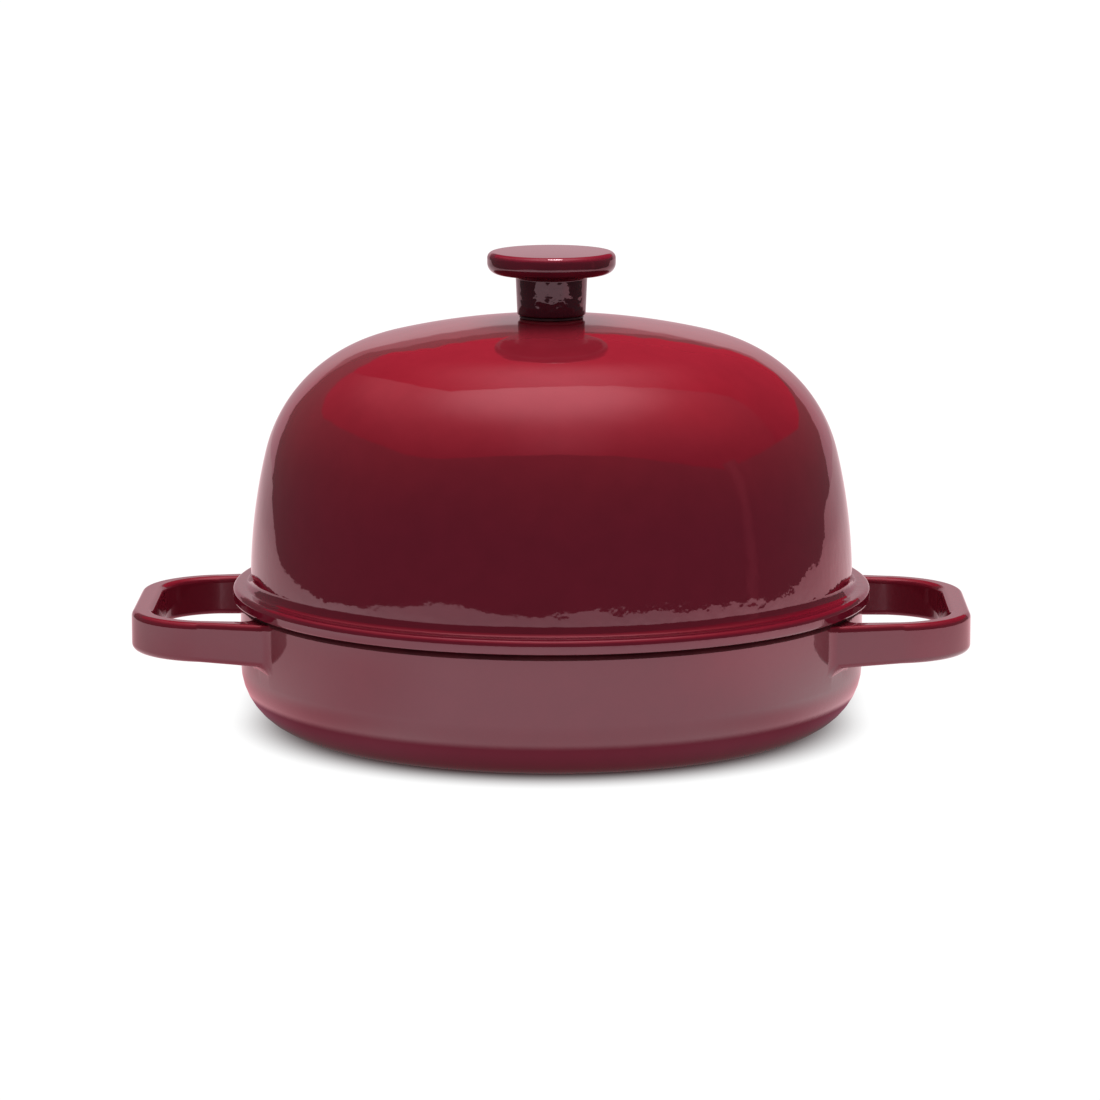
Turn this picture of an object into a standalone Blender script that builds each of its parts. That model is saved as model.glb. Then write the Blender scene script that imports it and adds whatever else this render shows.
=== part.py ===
"""Cast iron bread oven: a shallow round pan with two loop handles under a tall domed lid.

Metres, +Z up. The origin is the middle of the pan's underside, on the surface that the oven stands on.
The two handles point along +X and -X. The lid lifts straight up along Z, with its knob and hardware.
"""

import math

import bmesh
import bpy
from mathutils import Vector
from mathutils.geometry import intersect_line_sphere_2d, intersect_sphere_sphere_2d

# Space left between two pieces that touch on the real oven
SEAT_GAP = 0.0003

# Pan: outside size, thicknesses and roundings
PAN_RADIUS = 0.1273
PAN_HEIGHT = 0.0518
PAN_WALL = 0.0042
PAN_FLOOR = 0.0050
PAN_CORNER_RADIUS = 0.0250
RIM_OUTER_ROUND = 0.0023
RIM_INNER_ROUND = 0.0008

# Handles: two flat loops cast in one with the pan
HANDLE_REACH = 0.0429
HANDLE_ROOT_HALF_WIDTH = 0.0605
HANDLE_TAPER = math.radians(8.5)
HANDLE_CORNER_RADIUS = 0.0345
HANDLE_SIDE_BAR = 0.0082
HANDLE_END_BAR = 0.0090
HANDLE_HEIGHT = 0.0161
HANDLE_BELOW_RIM = 0.0016
HANDLE_EDGE_ROUND = 0.0026
HANDLE_ROOT_FILLET = 0.0040

# Lid: a dome of three tangent arcs on a flange, with a lip that drops inside the pan's rim
LID_WALL = 0.0040
FLANGE_OVERHANG = 0.0031
FLANGE_LEDGE = 0.0074
FLANGE_THICKNESS = 0.0057
FLANGE_TOP_ROUND = 0.0024
FLANGE_BOTTOM_ROUND = 0.0008
FLANGE_FILLET = 0.0048
LIP_DEPTH = 0.0030
LIP_WIDTH = 0.0031
LIP_CLEARANCE = 0.0010
LIP_ROUND = 0.0008
DOME_RISE = 0.1143
DOME_SIDE_RADIUS = 0.2290
DOME_SHOULDER_RADIUS = 0.0620
DOME_CROWN_RADIUS = 0.2942

# Knob: a round disc on a short stem
KNOB_RADIUS = 0.0261
KNOB_HEIGHT = 0.0257
KNOB_DISC_THICKNESS = 0.0089
KNOB_TOP_ROUND = 0.0026
KNOB_UNDER_ROUND = 0.0044
KNOB_NECK_FILLET = 0.0022
STEM_FOOT_RADIUS = 0.0139
STEM_NECK_RADIUS = 0.0146
STEM_FOOT_ROUND = 0.0008

# Knob hardware: a gasket above the crown, and a screw with two washers below it
GASKET_RECESS = 0.0009
GASKET_THICKNESS = 0.0006
SCREW_RADIUS = 0.0030
SCREW_CLEARANCE = 0.0003
SCREW_GRIP = 0.0120
SCREW_TIP_SPACE = 0.0010
SCREW_TIP_ROUND = 0.0008
SCREW_HEAD_RADIUS = 0.0058
SCREW_HEAD_HEIGHT = 0.0040
SCREW_HEAD_ROUND = 0.0022
CROSS_SLOT_LENGTH = 0.0064
CROSS_SLOT_WIDTH = 0.0013
CROSS_SLOT_DEPTH = 0.0020
FLAT_WASHER_RADIUS = 0.0075
FLAT_WASHER_THICKNESS = 0.0012
LOCK_WASHER_RADIUS = 0.0053
LOCK_WASHER_THICKNESS = 0.0016
LOCK_WASHER_SPLIT = 0.0010
LOCK_WASHER_SLANT = math.radians(30)
SPOT_FACE_MARGIN = 0.0015

# Finishes: linear red, green and blue, then roughness and metallic
PAN_ENAMEL = ((0.24, 0.018, 0.032), 0.12, 0.0)
LID_ENAMEL = ((0.27, 0.012, 0.022), 0.12, 0.0)
KNOB_ENAMEL = ((0.16, 0.012, 0.024), 0.15, 0.0)
GASKET_RUBBER = ((0.02, 0.018, 0.018), 0.60, 0.0)
STAINLESS_STEEL = ((0.62, 0.61, 0.59), 0.30, 1.0)

# How finely curves are cut into flats
CHORD_TOLERANCE = 0.0002
CASTING_SEGMENTS = 64
KNOB_SEGMENTS = 36
HARDWARE_SEGMENTS = 24
EDGE_STEPS = 3
FILLET_STEPS = 4
HANDLE_CORNER_STEPS = 7
SMOOTH_ANGLE = math.radians(35)

# Points closer than this are one point, and roundings leave this share of an edge straight
WELD_DISTANCE = 1e-6
STRAIGHT_SHARE = 0.02

# Heights that follow from the sizes above
FLANGE_BOTTOM = PAN_HEIGHT + SEAT_GAP
FLANGE_TOP = FLANGE_BOTTOM + FLANGE_THICKNESS
CROWN_TOP = FLANGE_BOTTOM + DOME_RISE
GASKET_TOP = CROWN_TOP + SEAT_GAP + GASKET_THICKNESS
KNOB_FOOT = GASKET_TOP + SEAT_GAP

# Radii that follow from the sizes above
PAN_INNER_RADIUS = PAN_RADIUS - PAN_WALL
FLANGE_RADIUS = PAN_RADIUS + FLANGE_OVERHANG
DOME_FOOT_RADIUS = FLANGE_RADIUS - FLANGE_LEDGE
BOLT_HOLE_RADIUS = SCREW_RADIUS + SCREW_CLEARANCE
SPOT_FACE_RADIUS = FLAT_WASHER_RADIUS + SPOT_FACE_MARGIN


def clear_scene():
    for item in list(bpy.context.scene.objects):
        bpy.data.objects.remove(item, do_unlink=True)


def material(name, colour, roughness, metallic):
    finish = bpy.data.materials.new(name)
    finish.use_nodes = True
    surface = finish.node_tree.nodes["Principled BSDF"]
    surface.inputs["Base Color"].default_value = (*colour, 1.0)
    surface.inputs["Roughness"].default_value = roughness
    surface.inputs["Metallic"].default_value = metallic
    return finish


def arc(centre, radius, start, end, steps=None):
    """Points on an arc from one angle to another, both ends included."""
    if steps is None:
        widest_step = 2 * math.acos(1 - min(CHORD_TOLERANCE / radius, 1))
        steps = math.ceil(abs(end - start) / widest_step)
    points = []
    for index in range(steps + 1):
        angle = start + (end - start) * index / steps
        points.append(Vector((centre[0] + radius * math.cos(angle), centre[1] + radius * math.sin(angle))))
    return points


def corner_arc(before, corner, after, radius, steps=None):
    """Points that round one corner of an outline."""
    to_before = (before - corner).normalized()
    to_after = (after - corner).normalized()
    half_angle = to_before.angle(to_after) / 2
    reach = radius / math.tan(half_angle)
    centre = corner + (to_before + to_after).normalized() * radius / math.sin(half_angle)
    first = corner + to_before * reach - centre
    last = corner + to_after * reach - centre
    start = math.atan2(first.y, first.x)
    turn = math.remainder(math.atan2(last.y, last.x) - start, math.tau)
    return arc(centre, radius, start, start + turn, steps)


def roundings(places, radii):
    """The radii of an outline's corners, made smaller where two would meet on one edge."""
    count = len(places)
    reaches = []
    for index, place in enumerate(places):
        reach = 0
        if radii[index]:
            spread = (places[index - 1] - place).angle(places[(index + 1) % count] - place)
            reach = radii[index] / math.tan(spread / 2)
        reaches.append(reach)
    shares = [1.0] * count
    for index in range(count):
        following = (index + 1) % count
        wanted = reaches[index] + reaches[following]
        room = (1 - STRAIGHT_SHARE) * (places[following] - places[index]).length
        if wanted > room:
            shares[index] = min(shares[index], room / wanted)
            shares[following] = min(shares[following], room / wanted)
    return [radius * share for radius, share in zip(radii, shares)]


def rounded(corners, steps=None):
    """An outline from (x, y, rounding radius) corners; a corner with radius 0 stays sharp."""
    places = [Vector(corner[:2]) for corner in corners]
    radii = roundings(places, [corner[2] for corner in corners])
    points = []
    for index, place in enumerate(places):
        if radii[index] == 0:
            points.append(place)
        else:
            after = places[(index + 1) % len(places)]
            points.extend(corner_arc(places[index - 1], place, after, radii[index], steps))
    return points


def sharp(points):
    """The same points as corners that stay sharp."""
    return [(point[0], point[1], 0) for point in points]


def new_object(name, mesh, finish=None, parent=None, height=0.0):
    piece = bpy.data.objects.new(name, mesh)
    bpy.context.collection.objects.link(piece)
    if finish:
        mesh.materials.append(finish)
    mesh.shade_smooth()
    mesh.set_sharp_from_angle(angle=SMOOTH_ANGLE)
    piece.parent = parent
    piece.location.z = height
    return piece


def empty(name, height):
    """A bare axis that carries the pieces of one moving group."""
    axis = bpy.data.objects.new(name, None)
    bpy.context.collection.objects.link(axis)
    axis.location.z = height
    return axis


def turned_mesh(name, outline, closed, segments):
    """Spin an outline of (radius, height) points once round Z."""
    shape = bmesh.new()
    corners = [shape.verts.new((point[0], 0, point[1])) for point in outline]
    for first, second in zip(corners, corners[1:]):
        shape.edges.new((first, second))
    if closed:
        shape.edges.new((corners[-1], corners[0]))
    bmesh.ops.spin(
        shape, geom=shape.verts[:] + shape.edges[:], cent=(0, 0, 0), axis=(0, 0, 1),
        angle=math.tau, steps=segments, use_merge=True,
    )
    bmesh.ops.remove_doubles(shape, verts=shape.verts, dist=WELD_DISTANCE)
    bmesh.ops.dissolve_degenerate(shape, edges=shape.edges, dist=WELD_DISTANCE)
    bmesh.ops.recalc_face_normals(shape, faces=shape.faces)
    mesh = bpy.data.meshes.new(name)
    shape.to_mesh(mesh)
    shape.free()
    return mesh


def loft_mesh(name, sections):
    """Join a row of closed sections, each a list of 3-D points, and close both ends."""
    shape = bmesh.new()
    rings = [[shape.verts.new(point) for point in section] for section in sections]
    count = len(rings[0])
    for near, far in zip(rings, rings[1:]):
        for index in range(count):
            following = (index + 1) % count
            shape.faces.new((near[index], near[following], far[following], far[index]))
    shape.faces.new(rings[0])
    shape.faces.new(rings[-1])
    bmesh.ops.recalc_face_normals(shape, faces=shape.faces)
    mesh = bpy.data.meshes.new(name)
    shape.to_mesh(mesh)
    shape.free()
    return mesh


def box_mesh(name, size, middle):
    shape = bmesh.new()
    bmesh.ops.create_cube(shape, size=1)
    bmesh.ops.scale(shape, vec=size, verts=shape.verts)
    bmesh.ops.translate(shape, vec=middle, verts=shape.verts)
    mesh = bpy.data.meshes.new(name)
    shape.to_mesh(mesh)
    shape.free()
    return mesh


def combine(piece, tool, operation):
    """Join a helper shape to a piece, or cut it out, and keep the helper out of the model."""
    change = piece.modifiers.new(tool.name, "BOOLEAN")
    change.operation = operation
    change.object = tool
    tool.hide_render = True
    tool.display_type = "WIRE"


def bar_side(across, corner_radius, inset, outward):
    """Plan points of one face of a handle's +Y side bar, from inside the pan's wall to the loop's end.

    across is the face's Y at the root, inset is how far the loop's end lies inside its outer end,
    and outward is 1 for the loop's outer face and -1 for the face of the finger gap.
    """
    along = Vector((math.cos(HANDLE_TAPER), -math.sin(HANDLE_TAPER)))
    away = Vector((math.sin(HANDLE_TAPER), math.cos(HANDLE_TAPER))) * outward
    start = Vector((math.sqrt(PAN_RADIUS ** 2 - HANDLE_ROOT_HALF_WIDTH ** 2), across))

    # The root fillet touches both the bar's face and the pan's wall
    fillet = HANDLE_ROOT_FILLET
    track = start + away * fillet
    reach = PAN_RADIUS + fillet
    crossings = intersect_line_sphere_2d(track - along, track + along, Vector((0, 0)), reach, False)
    middle = max(crossings, key=lambda point: point.x)
    to_wall = -middle
    from_bar = -away
    first = math.atan2(to_wall.y, to_wall.x)
    turn = math.remainder(math.atan2(from_bar.y, from_bar.x) - first, math.tau)
    root = arc(middle, fillet, first, first + turn, FILLET_STEPS)
    inside_wall = root[0].normalized() * (PAN_RADIUS - PAN_WALL / 2)

    # The rounded corner touches both the bar's face and the end's face
    end = PAN_RADIUS + HANDLE_REACH - inset
    corner_x = end - corner_radius
    face_y = start.y - (corner_x - start.x) * math.tan(HANDLE_TAPER)
    corner_y = face_y - corner_radius / math.cos(HANDLE_TAPER)
    bend = arc((corner_x, corner_y), corner_radius, math.pi / 2 - HANDLE_TAPER, 0, HANDLE_CORNER_STEPS)
    return [inside_wall] + root + bend


def root_drop(point):
    """How far the underside of the handle flares down at a plan point near the pan's wall."""
    fillet = HANDLE_ROOT_FILLET
    clear = min(max(point.length - PAN_RADIUS, 0), fillet)
    return fillet - math.sqrt(fillet ** 2 - (fillet - clear) ** 2)


def handle_section(outer, inner):
    """The bar's rounded section between a point of its outer face and one of its inner face."""
    width = (outer - inner).length
    top = PAN_HEIGHT - HANDLE_BELOW_RIM
    bottom = top - HANDLE_HEIGHT
    corners = [
        (0, bottom - root_drop(inner), HANDLE_EDGE_ROUND),
        (width, bottom - root_drop(outer), HANDLE_EDGE_ROUND),
        (width, top, HANDLE_EDGE_ROUND),
        (0, top, HANDLE_EDGE_ROUND),
    ]
    points = []
    for across, height in rounded(corners, EDGE_STEPS):
        plan = inner + (outer - inner) * across / width
        points.append((plan.x, plan.y, height))
    return points


def handle_mesh():
    """One loop handle at +X, with its two roots inside the pan's wall."""
    side_bar = HANDLE_SIDE_BAR / math.cos(HANDLE_TAPER)
    inner_corner = max(HANDLE_CORNER_RADIUS - HANDLE_END_BAR, HANDLE_EDGE_ROUND)
    outer = bar_side(HANDLE_ROOT_HALF_WIDTH, HANDLE_CORNER_RADIUS, 0, 1)
    inner = bar_side(HANDLE_ROOT_HALF_WIDTH - side_bar, inner_corner, HANDLE_END_BAR, -1)
    flip = Vector((1, -1))
    outer += [point * flip for point in reversed(outer)]
    inner += [point * flip for point in reversed(inner)]
    return loft_mesh("handle", [handle_section(far, near) for far, near in zip(outer, inner)])


def build_pan(finish):
    """The pan casting: a turned dish with a loop handle at each side."""
    corners = [
        (0, 0, 0),
        (PAN_RADIUS, 0, PAN_CORNER_RADIUS),
        (PAN_RADIUS, PAN_HEIGHT, RIM_OUTER_ROUND),
        (PAN_INNER_RADIUS, PAN_HEIGHT, RIM_INNER_ROUND),
        (PAN_INNER_RADIUS, PAN_FLOOR, max(PAN_CORNER_RADIUS - PAN_WALL, RIM_INNER_ROUND)),
        (0, PAN_FLOOR, 0),
    ]
    dish = turned_mesh("base_pan", rounded(corners), False, CASTING_SEGMENTS)
    pan = new_object("base_pan", dish, finish)
    loop = handle_mesh()
    for side, turn in (("right", 0), ("left", math.pi)):
        handle = new_object(f"{side}_handle_shape", loop)
        handle.rotation_euler.z = turn
        combine(pan, handle, "UNION")
    return pan


def dome_curve(depth, crown_edge):
    """The dome's curve from its foot to a radius near its middle, a given depth below the outside."""
    side = Vector((DOME_FOOT_RADIUS - DOME_SIDE_RADIUS, FLANGE_TOP))
    crown = Vector((0, CROWN_TOP - DOME_CROWN_RADIUS))
    side_reach = DOME_SIDE_RADIUS - DOME_SHOULDER_RADIUS
    crown_reach = DOME_CROWN_RADIUS - DOME_SHOULDER_RADIUS
    meetings = intersect_sphere_sphere_2d(side, side_reach, crown, crown_reach)
    shoulder = max(meetings, key=lambda point: point.x)
    side_end = math.atan2(*reversed(shoulder - side))
    shoulder_end = math.atan2(*reversed(shoulder - crown))
    crown_end = math.acos(crown_edge / (DOME_CROWN_RADIUS - depth))
    points = arc(side, DOME_SIDE_RADIUS - depth, 0, side_end)
    points += arc(shoulder, DOME_SHOULDER_RADIUS - depth, side_end, shoulder_end)[1:]
    points += arc(crown, DOME_CROWN_RADIUS - depth, shoulder_end, crown_end)[1:]
    return points


def crown_height(radius):
    """Height of the dome's outside at a radius on its crown."""
    return CROWN_TOP - DOME_CROWN_RADIUS + math.sqrt(DOME_CROWN_RADIUS ** 2 - radius ** 2)


def spot_face_height():
    """Height of the flat seat for the washer, on the inside of the crown."""
    return dome_curve(LID_WALL, SPOT_FACE_RADIUS)[-1].y


def build_lid(finish, parent):
    """The lid casting, a turned ring outline round the screw's hole."""
    outside = dome_curve(0, BOLT_HOLE_RADIUS)
    inside = dome_curve(LID_WALL, SPOT_FACE_RADIUS)
    lip_outer = PAN_INNER_RADIUS - LIP_CLEARANCE
    lip_inner = lip_outer - LIP_WIDTH
    lip_bottom = FLANGE_BOTTOM - LIP_DEPTH
    corners = sharp(reversed(outside[1:]))
    corners += [
        (outside[0].x, outside[0].y, FLANGE_FILLET),
        (FLANGE_RADIUS, FLANGE_TOP, FLANGE_TOP_ROUND),
        (FLANGE_RADIUS, FLANGE_BOTTOM, FLANGE_BOTTOM_ROUND),
        (lip_outer, FLANGE_BOTTOM, 0),
        (lip_outer, lip_bottom, LIP_ROUND),
        (lip_inner, lip_bottom, LIP_ROUND),
    ]
    corners += sharp(inside)
    corners.append((BOLT_HOLE_RADIUS, spot_face_height(), 0))
    lid_height = parent.location.z
    outline = [(point.x, point.y - lid_height) for point in rounded(corners)]
    return new_object("dome_lid", turned_mesh("dome_lid", outline, True, CASTING_SEGMENTS), finish, parent)


def build_gasket(finish, parent):
    """A thin ring between crown and knob, whose underside follows the crown."""
    outer = STEM_FOOT_RADIUS - GASKET_RECESS
    outline = [
        (BOLT_HOLE_RADIUS, GASKET_TOP),
        (outer, GASKET_TOP),
        (outer, crown_height(outer) + SEAT_GAP),
        (BOLT_HOLE_RADIUS, crown_height(BOLT_HOLE_RADIUS) + SEAT_GAP),
    ]
    outline = [(radius, height - GASKET_TOP) for radius, height in outline]
    mesh = turned_mesh("knob_gasket", outline, True, KNOB_SEGMENTS)
    return new_object("knob_gasket", mesh, finish, parent, GASKET_TOP - parent.location.z)


def build_knob(finish, parent):
    """The knob, with a blind hole in its foot for the screw."""
    bore_radius = SCREW_RADIUS + SEAT_GAP
    bore_depth = SCREW_GRIP + SCREW_TIP_SPACE
    disc_under = KNOB_HEIGHT - KNOB_DISC_THICKNESS
    corners = [
        (0, KNOB_HEIGHT, 0),
        (KNOB_RADIUS, KNOB_HEIGHT, KNOB_TOP_ROUND),
        (KNOB_RADIUS, disc_under, KNOB_UNDER_ROUND),
        (STEM_NECK_RADIUS, disc_under, KNOB_NECK_FILLET),
        (STEM_FOOT_RADIUS, 0, STEM_FOOT_ROUND),
        (bore_radius, 0, 0),
        (bore_radius, bore_depth, 0),
        (0, bore_depth, 0),
    ]
    mesh = turned_mesh("lid_knob", rounded(corners), False, KNOB_SEGMENTS)
    return new_object("lid_knob", mesh, finish, parent, KNOB_FOOT - parent.location.z)


def build_flat_washer(finish, parent, top):
    outline = [
        (BOLT_HOLE_RADIUS, 0),
        (FLAT_WASHER_RADIUS, 0),
        (FLAT_WASHER_RADIUS, -FLAT_WASHER_THICKNESS),
        (BOLT_HOLE_RADIUS, -FLAT_WASHER_THICKNESS),
    ]
    mesh = turned_mesh("flat_washer", outline, True, HARDWARE_SEGMENTS)
    return new_object("flat_washer", mesh, finish, parent, top - parent.location.z)


def build_lock_washer(finish, parent, top):
    """A spring washer: a square-section ring with one split."""
    outline = [
        (BOLT_HOLE_RADIUS, 0),
        (LOCK_WASHER_RADIUS, 0),
        (LOCK_WASHER_RADIUS, -LOCK_WASHER_THICKNESS),
        (BOLT_HOLE_RADIUS, -LOCK_WASHER_THICKNESS),
    ]
    mesh = turned_mesh("lock_washer", outline, True, HARDWARE_SEGMENTS)
    washer = new_object("lock_washer", mesh, finish, parent, top - parent.location.z)
    split_size = (2 * LOCK_WASHER_RADIUS, LOCK_WASHER_SPLIT, 3 * LOCK_WASHER_THICKNESS)
    split_mesh = box_mesh("washer_split", split_size, (LOCK_WASHER_RADIUS, 0, 0))
    split = new_object("washer_split", split_mesh, None, washer, -LOCK_WASHER_THICKNESS / 2)
    split.rotation_euler.x = LOCK_WASHER_SLANT
    combine(washer, split, "DIFFERENCE")
    return washer


def build_screw(finish, parent, head_top):
    """A pan-head screw that points up into the knob; its origin is the underside of the washers."""
    tip = KNOB_FOOT + SCREW_GRIP - head_top
    corners = [
        (0, tip, 0),
        (SCREW_RADIUS, tip, SCREW_TIP_ROUND),
        (SCREW_RADIUS, 0, 0),
        (SCREW_HEAD_RADIUS, 0, 0),
        (SCREW_HEAD_RADIUS, -SCREW_HEAD_HEIGHT, SCREW_HEAD_ROUND),
        (0, -SCREW_HEAD_HEIGHT, 0),
    ]
    mesh = turned_mesh("knob_screw", rounded(corners), False, HARDWARE_SEGMENTS)
    screw = new_object("knob_screw", mesh, finish, parent, head_top - parent.location.z)
    slot_size = (CROSS_SLOT_LENGTH, CROSS_SLOT_WIDTH, 2 * CROSS_SLOT_DEPTH)
    slot_mesh = box_mesh("cross_slot", slot_size, (0, 0, -SCREW_HEAD_HEIGHT))
    for arm, turn in enumerate((0, math.pi / 2)):
        slot = new_object(f"cross_slot_{arm + 1}", slot_mesh, None, screw)
        slot.rotation_euler.z = turn
        combine(screw, slot, "DIFFERENCE")
    return screw


def main():
    clear_scene()
    build_pan(material("pan_enamel", *PAN_ENAMEL))
    lid_axis = empty("lid_axis", FLANGE_BOTTOM)
    build_lid(material("lid_enamel", *LID_ENAMEL), lid_axis)
    build_gasket(material("gasket_rubber", *GASKET_RUBBER), lid_axis)
    build_knob(material("knob_enamel", *KNOB_ENAMEL), lid_axis)

    # The hardware hangs under the crown, each piece below the one before
    flat_top = spot_face_height() - SEAT_GAP
    lock_top = flat_top - FLAT_WASHER_THICKNESS - SEAT_GAP
    head_top = lock_top - LOCK_WASHER_THICKNESS - SEAT_GAP
    build_flat_washer(material("flat_washer_steel", *STAINLESS_STEEL), lid_axis, flat_top)
    build_lock_washer(material("lock_washer_steel", *STAINLESS_STEEL), lid_axis, lock_top)
    build_screw(material("screw_steel", *STAINLESS_STEEL), lid_axis, head_top)


main()
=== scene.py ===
"""A cast iron bread oven in dark red enamel, on a pale table under soft studio light.

Metres, in the frame of the CAD model: +Z up, both handles along X, the photograph's viewer at -Y.
"""

import math

import bmesh
import bpy
from mathutils import Matrix, Vector
from mathutils.geometry import intersect_line_sphere_2d, intersect_sphere_sphere_2d


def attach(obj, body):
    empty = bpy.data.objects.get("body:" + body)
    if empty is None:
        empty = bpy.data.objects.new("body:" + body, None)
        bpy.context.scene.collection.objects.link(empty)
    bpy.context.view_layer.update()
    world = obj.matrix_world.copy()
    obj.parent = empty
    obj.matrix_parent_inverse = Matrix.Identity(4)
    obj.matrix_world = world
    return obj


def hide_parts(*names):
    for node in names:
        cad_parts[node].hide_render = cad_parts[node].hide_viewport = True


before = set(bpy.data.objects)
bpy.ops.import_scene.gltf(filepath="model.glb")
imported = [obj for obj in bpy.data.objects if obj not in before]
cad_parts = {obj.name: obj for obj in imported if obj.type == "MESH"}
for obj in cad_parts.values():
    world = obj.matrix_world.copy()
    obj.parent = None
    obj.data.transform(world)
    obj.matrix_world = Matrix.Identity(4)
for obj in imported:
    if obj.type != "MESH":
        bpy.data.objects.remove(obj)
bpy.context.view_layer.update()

# Space left between two pieces that touch
SEAT_GAP = 0.0003

# Pan
PAN_RADIUS = 0.1273
PAN_HEIGHT = 0.0518
PAN_WALL = 0.0042
PAN_FLOOR = 0.0050
PAN_CORNER_RADIUS = 0.0250
RIM_OUTER_ROUND = 0.0023
RIM_INNER_ROUND = 0.0008
GLAZE_ENDS_BELOW_RIM = RIM_OUTER_ROUND * 1.05

# Loop handles
HANDLE_REACH = 0.0429
HANDLE_ROOT_HALF_WIDTH = 0.0605
HANDLE_TAPER = math.radians(8.5)
HANDLE_CORNER_RADIUS = 0.0345
HANDLE_SIDE_BAR = 0.0082
HANDLE_END_BAR = 0.0090
HANDLE_HEIGHT = 0.0161
HANDLE_BELOW_RIM = 0.0016
HANDLE_EDGE_ROUND = 0.0026
HANDLE_ROOT_FILLET = 0.0060

# Lid: the flange's edge bulges by a hair, and the dome's foot flares out onto the flange
LID_WALL = 0.0040
FLANGE_OVERHANG = 0.0031
FLANGE_LEDGE = 0.0074
FLANGE_THICKNESS = 0.0057
FLANGE_TOP_ROUND = 0.0024
FLANGE_BOTTOM_ROUND = 0.0008
FLANGE_BULGE = 0.00015
BULGE_SHARE_OF_HEIGHT = 0.38
BULGE_ROUND = 0.02
FLARE_WIDTH = 0.0026
FLARE_HEIGHT = 0.0043
LIP_DEPTH = 0.0030
LIP_WIDTH = 0.0031
LIP_CLEARANCE = 0.0010
LIP_ROUND = 0.0008
DOME_RISE = 0.1143
DOME_SIDE_RADIUS = 0.2290
DOME_SHOULDER_RADIUS = 0.0620
DOME_CROWN_RADIUS = 0.2942

# Knob
KNOB_RADIUS = 0.0261
KNOB_HEIGHT = 0.0257
KNOB_DISC_THICKNESS = 0.0089
KNOB_TOP_ROUND = 0.0026
KNOB_UNDER_ROUND = 0.0044
KNOB_NECK_FILLET = 0.0022
STEM_FOOT_RADIUS = 0.0139
STEM_NECK_RADIUS = 0.0146
STEM_FOOT_ROUND = 0.0008

# Knob hardware
GASKET_RECESS = 0.0009
GASKET_THICKNESS = 0.0006
GASKET_EDGE_ROUND = GASKET_THICKNESS / 3
SCREW_RADIUS = 0.0030
SCREW_CLEARANCE = 0.0003
SCREW_GRIP = 0.0120
SCREW_TIP_SPACE = 0.0010
SCREW_TIP_ROUND = 0.0008
SCREW_HEAD_RADIUS = 0.0058
SCREW_HEAD_HEIGHT = 0.0040
SCREW_HEAD_ROUND = 0.0022
SCREW_HEAD_EDGE_ROUND = SCREW_TIP_ROUND / 4
CROSS_SLOT_LENGTH = 0.0064
CROSS_SLOT_WIDTH = 0.0013
CROSS_SLOT_DEPTH = 0.0020
FLAT_WASHER_RADIUS = 0.0075
FLAT_WASHER_THICKNESS = 0.0012
FLAT_WASHER_EDGE_ROUND = FLAT_WASHER_THICKNESS / 5
LOCK_WASHER_RADIUS = 0.0053
LOCK_WASHER_THICKNESS = 0.0016
LOCK_WASHER_EDGE_ROUND = LOCK_WASHER_THICKNESS / 8
LOCK_WASHER_SPLIT = 0.0010
LOCK_WASHER_SLANT = math.radians(30)
SPOT_FACE_MARGIN = 0.0015

# Heights and radii that follow
FLANGE_BOTTOM = PAN_HEIGHT + SEAT_GAP
FLANGE_TOP = FLANGE_BOTTOM + FLANGE_THICKNESS
CROWN_TOP = FLANGE_BOTTOM + DOME_RISE
GASKET_TOP = CROWN_TOP + SEAT_GAP + GASKET_THICKNESS
KNOB_FOOT = GASKET_TOP + SEAT_GAP
PAN_INNER_RADIUS = PAN_RADIUS - PAN_WALL
FLANGE_RADIUS = PAN_RADIUS + FLANGE_OVERHANG
DOME_FOOT_RADIUS = FLANGE_RADIUS - FLANGE_LEDGE
BOLT_HOLE_RADIUS = SCREW_RADIUS + SCREW_CLEARANCE
SPOT_FACE_RADIUS = FLAT_WASHER_RADIUS + SPOT_FACE_MARGIN

# How finely the pieces are cut
CASTING_SEGMENTS = 256
KNOB_SEGMENTS = 160
HARDWARE_SEGMENTS = 96
ARC_STEP = math.radians(1.5)
LONG_ARC_STEP = ARC_STEP / 3
ROUND_STEP = math.radians(9)
ROOT_STEPS = 16
HANDLE_CORNER_STEPS = 40
FLARE_STEPS = 20
STRAIGHT_SHARE = 0.02
SMOOTH_ANGLE = math.radians(40)

# Which finish a stretch of an outline takes
OUTSIDE = 0
INSIDE = 1
BARE_EDGE = 2


# ---- Outlines

def arc(centre, radius, start, end, step=ARC_STEP, steps=None):
    """Points on an arc from one angle to another, both ends included."""
    steps = steps or max(1, math.ceil(abs(end - start) / step))
    points = []
    for index in range(steps + 1):
        angle = start + (end - start) * index / steps
        points.append(Vector((centre[0] + radius * math.cos(angle), centre[1] + radius * math.sin(angle))))
    return points


def corner_arc(before, corner, after, radius):
    """Points that round one corner of an outline."""
    to_before = (before - corner).normalized()
    to_after = (after - corner).normalized()
    half_angle = to_before.angle(to_after) / 2
    reach = radius / math.tan(half_angle)
    centre = corner + (to_before + to_after).normalized() * radius / math.sin(half_angle)
    first = corner + to_before * reach - centre
    last = corner + to_after * reach - centre
    start = math.atan2(first.y, first.x)
    turn = math.remainder(math.atan2(last.y, last.x) - start, math.tau)
    return arc(centre, radius, start, start + turn, ROUND_STEP)


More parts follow.
